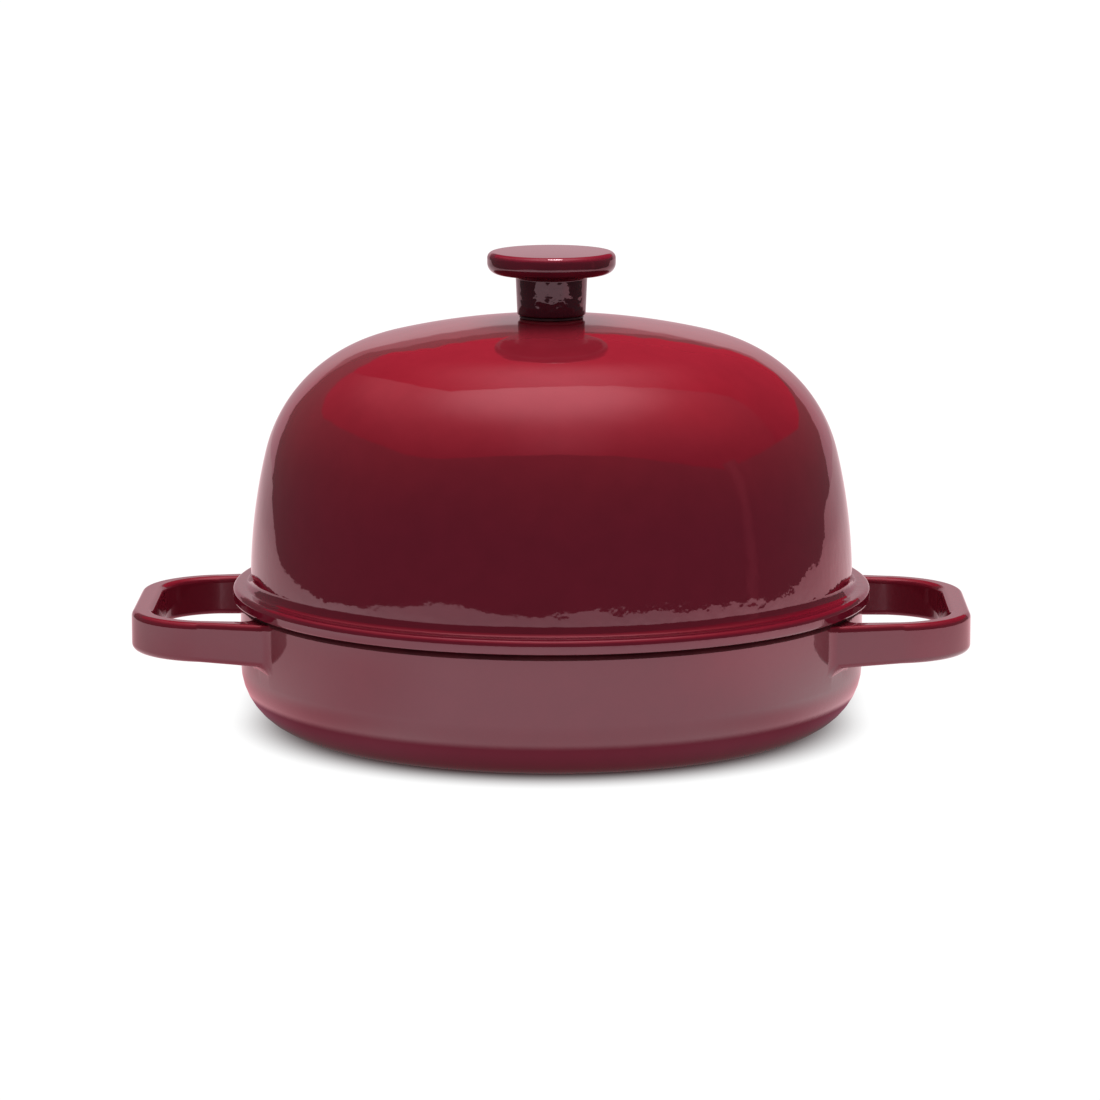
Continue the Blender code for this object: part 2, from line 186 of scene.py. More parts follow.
def roundings(places, radii):
    """The radii of an outline's corners, made smaller where two would meet on one edge."""
    count = len(places)
    reaches = []
    for index, place in enumerate(places):
        reach = 0
        if radii[index]:
            spread = (places[index - 1] - place).angle(places[(index + 1) % count] - place)
            reach = radii[index] / math.tan(spread / 2)
        reaches.append(reach)
    shares = [1.0] * count
    for index in range(count):
        following = (index + 1) % count
        wanted = reaches[index] + reaches[following]
        room = (1 - STRAIGHT_SHARE) * (places[following] - places[index]).length
        if wanted > room:
            shares[index] = min(shares[index], room / wanted)
            shares[following] = min(shares[following], room / wanted)
    return [radius * share for radius, share in zip(radii, shares)]


def rounded(corners):
    """Rounds (x, y, radius, finish) corners into (point, finish) pairs.

    A corner's finish is the one of the stretch that leads to it and of its own rounding.
    """
    places = [Vector(corner[:2]) for corner in corners]
    radii = roundings(places, [corner[2] for corner in corners])
    outline = []
    for index, place in enumerate(places):
        finish = corners[index][3]
        if radii[index] == 0:
            outline.append((place, finish))
        else:
            after = places[(index + 1) % len(places)]
            bend = corner_arc(places[index - 1], place, after, radii[index])
            outline.extend((point, finish) for point in bend)
    return outline


def sharp(points, finish):
    """The same points as corners that stay sharp, all in one finish."""
    return [(point[0], point[1], 0, finish) for point in points]


def dome_curve(depth, crown_edge):
    """The dome's curve from its foot to a radius near its middle, a given depth below the outside."""
    side = Vector((DOME_FOOT_RADIUS - DOME_SIDE_RADIUS, FLANGE_TOP))
    crown = Vector((0, CROWN_TOP - DOME_CROWN_RADIUS))
    side_reach = DOME_SIDE_RADIUS - DOME_SHOULDER_RADIUS
    crown_reach = DOME_CROWN_RADIUS - DOME_SHOULDER_RADIUS
    meetings = intersect_sphere_sphere_2d(side, side_reach, crown, crown_reach)
    shoulder = max(meetings, key=lambda point: point.x)
    side_end = math.atan2(*reversed(shoulder - side))
    shoulder_end = math.atan2(*reversed(shoulder - crown))
    crown_end = math.acos(crown_edge / (DOME_CROWN_RADIUS - depth))
    points = arc(side, DOME_SIDE_RADIUS - depth, 0, side_end, LONG_ARC_STEP)
    points += arc(shoulder, DOME_SHOULDER_RADIUS - depth, side_end, shoulder_end)[1:]
    points += arc(crown, DOME_CROWN_RADIUS - depth, shoulder_end, crown_end, LONG_ARC_STEP)[1:]
    return points


def flared_foot():
    """The dome's flared foot, from its side down onto the flange."""
    side = DOME_FOOT_RADIUS - DOME_SIDE_RADIUS + math.sqrt(DOME_SIDE_RADIUS ** 2 - FLARE_HEIGHT ** 2)
    points = []
    for step in range(FLARE_STEPS + 1):
        angle = math.pi / 2 * step / FLARE_STEPS
        out = FLARE_WIDTH * (1 - math.cos(angle))
        points.append(Vector((side + out, FLANGE_TOP + FLARE_HEIGHT * (1 - math.sin(angle)))))
    return points


def crown_height(radius):
    """Height of the dome's outside at a radius on its crown."""
    return CROWN_TOP - DOME_CROWN_RADIUS + math.sqrt(DOME_CROWN_RADIUS ** 2 - radius ** 2)


def spot_face_height():
    """Height of the flat seat for the washer, on the inside of the crown."""
    return dome_curve(LID_WALL, SPOT_FACE_RADIUS)[-1].y


# ---- Pieces

def new_object(name, data):
    """An object of the scene from its mesh, camera or light."""
    made = bpy.data.objects.new(name, data)
    bpy.context.collection.objects.link(made)
    return made


def new_mesh(name, shape, finishes):
    """A mesh from a bmesh, which it uses up, with its finishes in the order of their numbers."""
    mesh = bpy.data.meshes.new(name)
    shape.to_mesh(mesh)
    shape.free()
    for finish in finishes:
        mesh.materials.append(finish)
    return mesh


def new_piece(name, shape, finishes):
    """A smooth-shaded object from a bmesh."""
    bmesh.ops.recalc_face_normals(shape, faces=shape.faces)
    mesh = new_mesh(name, shape, finishes)
    mesh.shade_smooth()
    mesh.set_sharp_from_angle(angle=SMOOTH_ANGLE)
    return new_object(name, mesh)


def turned(name, outline, finishes, segments, closed=False):
    """Turns an outline of ((radius, height), finish) pairs once round Z.

    Where a radius is 0, there is one point on the axis.
    """
    shape = bmesh.new()
    rings = []
    for (radius, height), _ in outline:
        if radius == 0:
            rings.append([shape.verts.new((0, 0, height))] * segments)
            continue
        ring = []
        for step in range(segments):
            angle = math.tau * step / segments
            ring.append(shape.verts.new((radius * math.cos(angle), radius * math.sin(angle), height)))
        rings.append(ring)
    stretches = list(zip(rings, rings[1:], outline[1:]))
    if closed:
        stretches.append((rings[-1], rings[0], outline[0]))
    for near, far, (_, finish) in stretches:
        for step in range(segments):
            following = (step + 1) % segments
            corners = [near[step], near[following], far[following], far[step]]
            face = shape.faces.new(list(dict.fromkeys(corners)))
            face.material_index = finish
    return new_piece(name, shape, finishes)


def block(name, size, middle):
    """A plain cutter."""
    shape = bmesh.new()
    bmesh.ops.create_cube(shape, size=1)
    bmesh.ops.scale(shape, vec=size, verts=shape.verts)
    bmesh.ops.translate(shape, vec=middle, verts=shape.verts)
    return new_piece(name, shape, [])


def cross_block(name, length, width, depth, height):
    """A cutter with the outline of a plus sign, as deep above as below a height."""
    arm, side = length / 2, width / 2
    plan = []
    for turn in range(4):
        for x, y in ((arm, -side), (arm, side), (side, side)):
            plan.append(Vector((x, y, height)) @ Matrix.Rotation(-turn * math.pi / 2, 3, "Z"))
    shape = bmesh.new()
    rise = Vector((0, 0, depth / 2))
    lower = [shape.verts.new(point - rise) for point in plan]
    upper = [shape.verts.new(point + rise) for point in plan]
    shape.faces.new(lower)
    shape.faces.new(upper)
    for step in range(len(plan)):
        following = (step + 1) % len(plan)
        shape.faces.new([lower[step], lower[following], upper[following], upper[step]])
    return new_piece(name, shape, [])


def keep_changes(piece):
    """Makes the result of a piece's modifiers its own mesh."""
    graph = bpy.context.evaluated_depsgraph_get()
    result = bpy.data.meshes.new_from_object(piece.evaluated_get(graph))
    piece.modifiers.clear()
    piece.data = result


def combine(piece, tool, operation):
    """Joins a helper shape to a piece or cuts it out, and removes the helper."""
    change = piece.modifiers.new(tool.name, "BOOLEAN")
    change.operation = operation
    change.object = tool
    keep_changes(piece)
    piece.data.set_sharp_from_angle(angle=SMOOTH_ANGLE)
    bpy.data.objects.remove(tool, do_unlink=True)


def keep_flats_flat(piece):
    """Lets each broad face of a piece set the shading at its edges."""
    piece.modifiers.new("broad_faces_first", "WEIGHTED_NORMAL").keep_sharp = True
    keep_changes(piece)


def bar_side(across, corner_radius, inset, outward):
    """Plan points of one face of a handle's +Y side bar, from inside the pan's wall to the loop's end.

    The face is inset from the loop's end, and looks outward (1) or into the loop (-1).
    """
    along = Vector((math.cos(HANDLE_TAPER), -math.sin(HANDLE_TAPER)))
    away = Vector((math.sin(HANDLE_TAPER), math.cos(HANDLE_TAPER))) * outward
    start = Vector((math.sqrt(PAN_RADIUS ** 2 - HANDLE_ROOT_HALF_WIDTH ** 2), across))

    # The root fillet touches both the bar's face and the pan's wall
    fillet = HANDLE_ROOT_FILLET
    track = start + away * fillet
    wall = (Vector((0, 0)), PAN_RADIUS + fillet)
    crossings = intersect_line_sphere_2d(track - along, track + along, *wall, False)
    middle = max(crossings, key=lambda point: point.x)
    first = math.atan2(-middle.y, -middle.x)
    turn = math.remainder(math.atan2(-away.y, -away.x) - first, math.tau)
    root = arc(middle, fillet, first, first + turn, steps=ROOT_STEPS)
    inside_wall = root[0].normalized() * (PAN_RADIUS - PAN_WALL / 2)

    # The rounded corner touches both the bar's face and the end's face
    end = PAN_RADIUS + HANDLE_REACH - inset
    corner_x = end - corner_radius
    face_y = start.y - (corner_x - start.x) * math.tan(HANDLE_TAPER)
    corner_y = face_y - corner_radius / math.cos(HANDLE_TAPER)
    bend_start = math.pi / 2 - HANDLE_TAPER
    bend = arc((corner_x, corner_y), corner_radius, bend_start, 0, steps=HANDLE_CORNER_STEPS)
    return [inside_wall] + root + bend


def root_drop(point):
    """How far the underside of the handle flares down at a plan point near the pan's wall."""
    fillet = HANDLE_ROOT_FILLET
    clear = min(max(point.length - PAN_RADIUS, 0), fillet)
    return fillet - math.sqrt(fillet ** 2 - (fillet - clear) ** 2)


def handle_section(outer, inner):
    """The bar's rounded section between a point of its outer face and one of its inner face."""
    width = (outer - inner).length
    top = PAN_HEIGHT - HANDLE_BELOW_RIM
    bottom = top - HANDLE_HEIGHT
    corners = [
        (0, bottom - root_drop(inner), HANDLE_EDGE_ROUND, OUTSIDE),
        (width, bottom - root_drop(outer), HANDLE_EDGE_ROUND, OUTSIDE),
        (width, top, HANDLE_EDGE_ROUND, OUTSIDE),
        (0, top, HANDLE_EDGE_ROUND, OUTSIDE),
    ]
    section = []
    for (across, height), _ in rounded(corners):
        plan = inner + (outer - inner) * across / width
        section.append((plan.x, plan.y, height))
    return section


def loop_handle(name, turn, finishes):
    """One loop handle, with its two roots inside the pan's wall."""
    side_bar = HANDLE_SIDE_BAR / math.cos(HANDLE_TAPER)
    inner_corner = max(HANDLE_CORNER_RADIUS - HANDLE_END_BAR, HANDLE_EDGE_ROUND)
    outer = bar_side(HANDLE_ROOT_HALF_WIDTH, HANDLE_CORNER_RADIUS, 0, 1)
    inner = bar_side(HANDLE_ROOT_HALF_WIDTH - side_bar, inner_corner, HANDLE_END_BAR, -1)
    flip = Vector((1, -1))
    outer += [point * flip for point in reversed(outer)]
    inner += [point * flip for point in reversed(inner)]
    shape = bmesh.new()
    sections = [handle_section(far, near) for far, near in zip(outer, inner)]
    rings = [[shape.verts.new(point) for point in section] for section in sections]
    count = len(rings[0])
    for near, far in zip(rings, rings[1:]):
        for index in range(count):
            following = (index + 1) % count
            shape.faces.new((near[index], near[following], far[following], far[index]))
    shape.faces.new(rings[0])
    shape.faces.new(rings[-1])
    handle = new_piece(name, shape, finishes)
    handle.rotation_euler.z = turn
    return handle


def pan_casting(finishes):
    """The shallow pan with both loop handles, one casting."""
    corners = [
        (0, 0, 0, OUTSIDE),
        (PAN_RADIUS, 0, PAN_CORNER_RADIUS, OUTSIDE),
        (PAN_RADIUS, PAN_HEIGHT - GLAZE_ENDS_BELOW_RIM, 0, OUTSIDE),
        (PAN_RADIUS, PAN_HEIGHT, RIM_OUTER_ROUND, BARE_EDGE),
        (PAN_INNER_RADIUS, PAN_HEIGHT, RIM_INNER_ROUND, BARE_EDGE),
        (PAN_INNER_RADIUS, PAN_FLOOR, PAN_CORNER_RADIUS - PAN_WALL, INSIDE),
        (0, PAN_FLOOR, 0, INSIDE),
    ]
    pan = turned("pan_casting", rounded(corners), finishes, CASTING_SEGMENTS)
    for name, turn in (("right_handle", 0), ("left_handle", math.pi)):
        combine(pan, loop_handle(name, turn, finishes), "UNION")
    keep_flats_flat(pan)
    return pan


def lid_casting(finishes):
    """The domed lid, with its flange and the lip that drops inside the pan's rim."""
    outside = dome_curve(0, BOLT_HOLE_RADIUS)
    inside = dome_curve(LID_WALL, SPOT_FACE_RADIUS)
    lip_outer = PAN_INNER_RADIUS - LIP_CLEARANCE
    lip_inner = lip_outer - LIP_WIDTH
    lip_bottom = FLANGE_BOTTOM - LIP_DEPTH
    above_foot = [point for point in outside if point.y > FLANGE_TOP + FLARE_HEIGHT]
    edge_radius = FLANGE_RADIUS - FLANGE_BULGE
    bulge_height = FLANGE_BOTTOM + FLANGE_THICKNESS * BULGE_SHARE_OF_HEIGHT
    corners = sharp(reversed(above_foot), OUTSIDE) + sharp(flared_foot(), OUTSIDE)
    corners += [
        (edge_radius, FLANGE_TOP, FLANGE_TOP_ROUND, OUTSIDE),
        (FLANGE_RADIUS, bulge_height, BULGE_ROUND, OUTSIDE),
        (edge_radius, FLANGE_BOTTOM, FLANGE_BOTTOM_ROUND, OUTSIDE),
        (lip_outer, FLANGE_BOTTOM, 0, BARE_EDGE),
        (lip_outer, lip_bottom, LIP_ROUND, BARE_EDGE),
        (lip_inner, lip_bottom, LIP_ROUND, BARE_EDGE),
    ]
    corners += sharp(inside, INSIDE)
    corners.append((BOLT_HOLE_RADIUS, spot_face_height(), 0, INSIDE))

    # The wall of the bolt hole leads back to the first corner
    corners[0] = (*corners[0][:3], INSIDE)
    return turned("lid_casting", rounded(corners), finishes, CASTING_SEGMENTS, closed=True)


def knob_casting(finishes):
    """The mushroom knob, with a blind hole in its foot."""
    bore_top = KNOB_FOOT + SCREW_GRIP + SCREW_TIP_SPACE
    top = KNOB_FOOT + KNOB_HEIGHT
    disc_under = top - KNOB_DISC_THICKNESS
    corners = [
        (0, top, 0, OUTSIDE),
        (KNOB_RADIUS, top, KNOB_TOP_ROUND, OUTSIDE),
        (KNOB_RADIUS, disc_under, KNOB_UNDER_ROUND, OUTSIDE),
        (STEM_NECK_RADIUS, disc_under, KNOB_NECK_FILLET, OUTSIDE),
        (STEM_FOOT_RADIUS, KNOB_FOOT, STEM_FOOT_ROUND, OUTSIDE),
        (BOLT_HOLE_RADIUS, KNOB_FOOT, 0, OUTSIDE),
        (BOLT_HOLE_RADIUS, bore_top, 0, OUTSIDE),
        (0, bore_top, 0, OUTSIDE),
    ]
    return turned("knob_casting", rounded(corners), finishes, KNOB_SEGMENTS)


def bolt_ring(name, radius, top, bottom, edge, finishes):
    """A ring round the bolt, with softened edges."""
    corners = [
        (BOLT_HOLE_RADIUS, top, edge, OUTSIDE),
        (radius, top, edge, OUTSIDE),
        (radius, bottom, edge, OUTSIDE),
        (BOLT_HOLE_RADIUS, bottom, edge, OUTSIDE),
    ]
    return turned(name, rounded(corners), finishes, HARDWARE_SEGMENTS, closed=True)


def plain_washer(finishes, top):
    """The flat washer against the inside of the crown."""
    bottom = top - FLAT_WASHER_THICKNESS
    return bolt_ring("plain_washer", FLAT_WASHER_RADIUS, top, bottom, FLAT_WASHER_EDGE_ROUND, finishes)


def knob_seal(finishes):
    """The thin ring between crown and knob, whose underside follows the crown."""
    outer = STEM_FOOT_RADIUS - GASKET_RECESS
    corners = [
        (BOLT_HOLE_RADIUS, GASKET_TOP, 0, OUTSIDE),
        (outer, GASKET_TOP, GASKET_EDGE_ROUND, OUTSIDE),
        (outer, crown_height(outer) + SEAT_GAP, GASKET_EDGE_ROUND, OUTSIDE),
        (BOLT_HOLE_RADIUS, crown_height(BOLT_HOLE_RADIUS) + SEAT_GAP, 0, OUTSIDE),
    ]
    return turned("knob_seal", rounded(corners), finishes, KNOB_SEGMENTS, closed=True)


def spring_washer(finishes, top):
    """A square-section ring with one slanted split."""
    bottom = top - LOCK_WASHER_THICKNESS
    washer = bolt_ring("spring_washer", LOCK_WASHER_RADIUS, top, bottom, LOCK_WASHER_EDGE_ROUND, finishes)

    # The cutter reaches well past the ring on its +X side, above and below it
    size = (2 * LOCK_WASHER_RADIUS, LOCK_WASHER_SPLIT, 3 * LOCK_WASHER_THICKNESS)
    split = block("washer_split", size, (LOCK_WASHER_RADIUS, 0, 0))
    split.location.z = (top + bottom) / 2
    split.rotation_euler.x = LOCK_WASHER_SLANT
    combine(washer, split, "DIFFERENCE")
    return washer


def knob_screw(finishes, head_top):
    """A pan-head screw with a cross recess, that points up into the knob."""
    head_bottom = head_top - SCREW_HEAD_HEIGHT
    tip = KNOB_FOOT + SCREW_GRIP
    corners = [
        (0, tip, 0, OUTSIDE),
        (SCREW_RADIUS, tip, SCREW_TIP_ROUND, OUTSIDE),
        (SCREW_RADIUS, head_top, 0, OUTSIDE),
        (SCREW_HEAD_RADIUS, head_top, SCREW_HEAD_EDGE_ROUND, OUTSIDE),
        (SCREW_HEAD_RADIUS, head_bottom, SCREW_HEAD_ROUND, OUTSIDE),
        (0, head_bottom, 0, OUTSIDE),
    ]
    screw = turned("knob_bolt", rounded(corners), finishes, HARDWARE_SEGMENTS)
    size = (CROSS_SLOT_LENGTH, CROSS_SLOT_WIDTH, 2 * CROSS_SLOT_DEPTH)
    slot = cross_block("cross_slot", *size, head_bottom)

    # Turned by half a step, so that no corner of the recess falls on an edge of the head
    slot.rotation_euler.z = math.pi / HARDWARE_SEGMENTS
    combine(screw, slot, "DIFFERENCE")
    return screw


# ---- Finishes

ENAMEL_IOR = 1.6
ENAMEL_SHEEN_TINT = (1.0, 0.62, 0.70, 1.0)
MILLIMETRE = 0.001

# How much of the swells the pebbling takes over close to a foot
SWELL_LOST_AT_FOOT = 0.65

# The pebbling near a foot grows from its least share to its full height along X
PEBBLED_FROM_X = -0.05
PEBBLED_TO_X = 0.12
LEAST_PEBBLED = 0.35

# How far the edge between the painted lit and painted shaded parts of the enamel wanders up and down, in
# metres
PAINTED_SHADE_WANDER = 0.02

# Sizes of noise, in waves per metre
WANDER_SIZE = 18.0
GLAZE_CLOUD_SIZE = 110.0
FLECK_SIZE = 900.0
TURNING_MARK_SIZE = 9000.0


class Wiring:
    """Shorthand for adding and linking the nodes of one tree."""

    def __init__(self, tree):
        self.tree = tree

    def node(self, kind, inputs=None, **settings):
        """A new node of a kind, with values or links for its inputs, and its settings."""
        made = self.tree.nodes.new(f"ShaderNode{kind}")
        for setting, value in settings.items():
            setattr(made, setting, value)
        for socket, value in (inputs or {}).items():
            self.feed(made.inputs[socket], value)
        return made

    def feed(self, socket, value):
        """Links a socket to another, or gives it a plain value."""
        if isinstance(value, bpy.types.NodeSocket):
            self.tree.links.new(value, socket)
        else:
            socket.default_value = value

    def math(self, operation, first, second=0.0, third=0.0, clamp=False):
        made = self.node("Math", {0: first, 1: second, 2: third}, operation=operation, use_clamp=clamp)
        return made.outputs["Value"]

    def vector(self, operation, first, second=(0, 0, 0)):
        made = self.node("VectorMath", {0: first, 1: second}, operation=operation)
        return made.outputs["Value" if operation == "LENGTH" else "Vector"]

    def mix(self, share, first, second, blend="MIX"):
        """The first colour where the share is 0, and the blend of both where it is 1."""
        made = self.node("Mix", data_type="RGBA", blend_type=blend)
        self.feed(made.inputs["Factor"], share)
        self.feed(made.inputs["A"], first)
        self.feed(made.inputs["B"], second)
        return made.outputs["Result"]

    def spread(self, value, low, high, start=0.0, end=1.0):
        """A soft step of a value between two limits."""
        limits = {"Value": value, "From Min": low, "From Max": high, "To Min": start, "To Max": end}
        return self.node("MapRange", limits, interpolation_type="SMOOTHSTEP").outputs["Result"]

    def place(self):
        """Where a point is on its piece, in metres of the model's frame."""
        return self.node("TexCoord").outputs["Object"]

    def axes(self, place):
        """The X, Y and Z of a place."""
        return self.node("SeparateXYZ", {"Vector": place}).outputs

    def noise(self, place, scale, detail=2.0):
        return self.node("TexNoise", {"Vector": place, "Scale": scale, "Detail": detail}).outputs["Fac"]

    def bump(self, height, depth):
        """A normal from a height, where the height 1 stands this many metres proud."""
        made = self.node("Bump", {"Height": height, "Strength": 1.0, "Distance": depth})
        return made.outputs["Normal"]


def new_group(name, inputs, outputs):
    """A shader node group with inputs as (name, kind, value) and outputs as (name, kind).

    Returned with its wiring, the sockets that it is given and the sockets that it has made.
    """
    group = bpy.data.node_groups.new(name, "ShaderNodeTree")
    for label, kind, value in inputs:
        socket = group.interface.new_socket(label, in_out="INPUT", socket_type=f"NodeSocket{kind}")
        socket.default_value = value
    for label, kind in outputs:
        group.interface.new_socket(label, in_out="OUTPUT", socket_type=f"NodeSocket{kind}")
    given = group.nodes.new("NodeGroupInput").outputs
    made = group.nodes.new("NodeGroupOutput").inputs
    return group, Wiring(group), given, made


def enamel_waves():
    """Height in millimetres of the soft waves that fired enamel sets in.

    Broad swells run over the whole casting, and a pebbled skin is strongest near a foot.
    The sizes are in waves per metre.
    """
    group, wire, given, made = new_group(
        "enamel_waves",
        [
            ("Swell Size", "Float", 80.0),
            ("Swell Height", "Float", 0.12),
            ("Pebble Size", "Float", 420.0),
            ("Pebble Height", "Float", 0.006),
            ("Foot Height", "Float", 0.060),
            ("Foot Reach", "Float", 0.020),
            ("Foot Pebble", "Float", 0.024),
            ("Ripple Size", "Float", 150.0),
            ("Foot Ripple", "Float", 0.16),
        ],
        [("Height", "Float")],
    )
    place = wire.place()
    axes = wire.axes(place)
    above = wire.math("DIVIDE", wire.math("SUBTRACT", axes["Z"], given["Foot Height"]), given["Foot Reach"])
    nearness = wire.math("SUBTRACT", 1.0, above, clamp=True)
    calm = wire.math("MULTIPLY_ADD", nearness, -SWELL_LOST_AT_FOOT, 1.0)
    swelling = wire.math("MULTIPLY", calm, given["Swell Height"])
    height = wire.math("MULTIPLY", wire.noise(place, given["Swell Size"], 1.0), swelling)
    side = wire.spread(axes["X"], PEBBLED_FROM_X, PEBBLED_TO_X, LEAST_PEBBLED, 1.0)
    near_foot = wire.math("MULTIPLY", nearness, side)
    extra = wire.math("MULTIPLY", near_foot, given["Foot Pebble"])
    pebbling = wire.math("ADD", extra, given["Pebble Height"])
    height = wire.math("MULTIPLY_ADD", wire.noise(place, given["Pebble Size"], 1.0), pebbling, height)
    rippling = wire.math("MULTIPLY", near_foot, given["Foot Ripple"])
    height = wire.math("MULTIPLY_ADD", wire.noise(place, given["Ripple Size"], 1.0), rippling, height)
    wire.feed(made["Height"], height)
    return group


def enamel_colour():
    """Enamel colour with painted light: lighter high up, painted shade low down, and faintly clouded. Fleck
    is a fine grain of 0 to 1.
    """
    group, wire, given, made = new_group(
        "enamel_colour",
        [
            ("Bright", "Color", (0.3, 0.02, 0.03, 1)),
            ("Deep", "Color", (0.15, 0.01, 0.02, 1)),
            ("Deep Below", "Float", 0.10),
            ("Bright Above", "Float", 0.15),
            ("Clouding", "Float", 0.2),
        ],
        [("Color", "Color"), ("Fleck", "Float")],
    )
    place = wire.place()
    drift = wire.math("SUBTRACT", wire.noise(place, WANDER_SIZE), 0.5)
    height = wire.math("MULTIPLY_ADD", drift, PAINTED_SHADE_WANDER, wire.axes(place)["Z"])
    share = wire.spread(height, given["Deep Below"], given["Bright Above"])
    glaze_and_painted_light = wire.mix(share, given["Deep"], given["Bright"])
    cloud = wire.math("SUBTRACT", wire.noise(place, GLAZE_CLOUD_SIZE, 4.0), 0.5)
    shade = wire.math("MULTIPLY_ADD", cloud, given["Clouding"], 1.0)
    grey = wire.node("CombineColor", {"Red": shade, "Green": shade, "Blue": shade}).outputs["Color"]
    wire.feed(made["Color"], wire.mix(1.0, glaze_and_painted_light, grey, "MULTIPLY"))
    wire.feed(made["Fleck"], wire.noise(place, FLECK_SIZE))
    return group


def fine_grain():
    """A fine grain and a broad cloudiness, both from 0 to 1."""
    group, wire, given, made = new_group(
        "fine_grain",
        [("Grain Size", "Float", 1400.0), ("Cloud Size", "Float", 60.0)],
        [("Grain", "Float"), ("Cloud", "Float")],
    )
    place = wire.place()
    wire.feed(made["Grain"], wire.noise(place, given["Grain Size"], 3.0))
    wire.feed(made["Cloud"], wire.spread(wire.noise(place, given["Cloud Size"], 4.0), 0.3, 0.7))
    return group


EFFECTS = {"enamel_waves": enamel_waves(), "enamel_colour": enamel_colour(), "fine_grain": fine_grain()}


def new_material(name):
    """A material, its wiring, and the sockets of its Principled surface."""
    made = bpy.data.materials.new(name)
    made.use_nodes = True
    return made, Wiring(made.node_tree), made.node_tree.nodes["Principled BSDF"].inputs


def effect(wire, name, **values):
    """Places a shared effect with its own values; an underscore in a value's name stands for a space."""
    placed = wire.node("Group", node_tree=EFFECTS[name])
    for label, value in values.items():
        wire.feed(placed.inputs[label.replace("_", " ")], value)
    return placed.outputs


def roughen(wire, surface, grain, smoothest, change, relief, depth):
    """Dulls a surface by a grain, and bumps it by a relief that stands depth metres proud where it is 1."""
    wire.feed(surface["Roughness"], wire.math("MULTIPLY_ADD", grain, change, smoothest))
    wire.feed(surface["Normal"], wire.bump(relief, depth))


def gloss_enamel(name, colour, waves):
    """Glossy red enamel for the outside of a casting, its colour carrying painted light above and painted
    shade below.
    """
    made, wire, surface = new_material(name)
    glaze_and_painted_light = effect(wire, "enamel_colour", **colour)
    relief = effect(wire, "enamel_waves", **waves)["Height"]
    wire.feed(surface["Base Color"], glaze_and_painted_light["Color"])
    roughen(wire, surface, glaze_and_painted_light["Fleck"], smoothest=0.02, change=0.04, relief=relief, depth=MILLIMETRE)
    surface["IOR"].default_value = ENAMEL_IOR
    surface["Specular Tint"].default_value = ENAMEL_SHEEN_TINT
    return made


def grained(name, grain_size, cloud_size, dark, light, smoothest, depth):
    """A clouded finish with a fine, dry grain."""
    made, wire, surface = new_material(name)
    grain = effect(wire, "fine_grain", Grain_Size=grain_size, Cloud_Size=cloud_size)
    wire.feed(surface["Base Color"], wire.mix(grain["Cloud"], dark, light))
    roughen(wire, surface, grain["Grain"], smoothest, change=0.20, relief=grain["Grain"], depth=depth)
    return made, surface


def satin_enamel(name, dark, light, smoothest, shine):
    """Satin enamel, finely pebbled, for the baking side of a casting and its seating edges."""
    made, surface = grained(name, 1400.0, 60.0, dark, light, smoothest, depth=0.12 * MILLIMETRE)
    surface["Specular IOR Level"].default_value = shine
    return made


def seal_rubber():
    """Dark heat-proof silicone with a dry, fine grain."""
    dark = (0.034, 0.010, 0.014, 1)
    light = (0.056, 0.018, 0.023, 1)
    made, _ = grained("seal_rubber", 2500.0, 200.0, dark, light, smoothest=0.35, depth=0.03 * MILLIMETRE)
    return made


def turned_steel():
    """Stainless steel with fine turning marks round its axis, faintly smudged."""
    made, wire, surface = new_material("turned_steel")
    axes = wire.axes(wire.place())
    flat = wire.node("CombineXYZ", {"X": axes["X"], "Y": axes["Y"]}).outputs["Vector"]
    along = wire.node("CombineXYZ", {"X": wire.vector("LENGTH", flat), "Z": axes["Z"]}).outputs["Vector"]
    marks = wire.noise(along, TURNING_MARK_SIZE)
    smudges = effect(wire, "fine_grain", Grain_Size=1200.0, Cloud_Size=260.0)["Cloud"]
    wire.feed(surface["Base Color"], wire.mix(smudges, (0.50, 0.49, 0.47, 1), (0.66, 0.65, 0.63, 1)))
    roughen(wire, surface, marks, smoothest=0.20, change=0.25, relief=marks, depth=0.01 * MILLIMETRE)
    surface["Metallic"].default_value = 1.0
    return made


# ---- The oven

# Each enamel is one colour, painted lighter where light falls from above and darker as painted shade lower
# down
pan_enamel = gloss_enamel(
    "pan_enamel",
    {
        "Bright": (0.20, 0.013, 0.028, 1), "Bright_Above": 0.06,
        "Deep": (0.18, 0.011, 0.025, 1), "Deep_Below": 0.0,
    },
    {"Swell_Height": 0.05, "Foot_Ripple": 0.0},
)
lid_enamel = gloss_enamel(
    "lid_enamel",
    {
        "Bright": (0.28, 0.016, 0.030, 1), "Bright_Above": 0.14,
        "Deep": (0.19, 0.010, 0.027, 1), "Deep_Below": 0.09,
    },
    {"Swell_Height": 0.09, "Foot_Height": 0.058, "Foot_Reach": 0.04},
)
# Below the disc's top the knob turns much darker: painted shade under the disc and on the stem
knob_enamel = gloss_enamel(
    "knob_enamel",
    {
        "Bright": (0.14, 0.010, 0.024, 1), "Bright_Above": 0.193,
        "Deep": (0.05, 0.005, 0.012, 1), "Deep_Below": 0.186,
    },
    {
        "Swell_Size": 160.0, "Swell_Height": 0.05, "Pebble_Height": 0.012,
        "Foot_Height": 0.176, "Foot_Reach": 0.010, "Ripple_Size": 260.0, "Foot_Ripple": 0.34,
    },
)
baking_side = satin_enamel(
    "baking_side_enamel",
    dark=(0.012, 0.011, 0.011, 1), light=(0.020, 0.018, 0.018, 1), smoothest=0.35, shine=0.5,
)
seating_edge = satin_enamel(
    "seating_edge_enamel",
    dark=(0.060, 0.006, 0.010, 1), light=(0.090, 0.009, 0.015, 1), smoothest=0.50, shine=0.12,
)
steel = turned_steel()

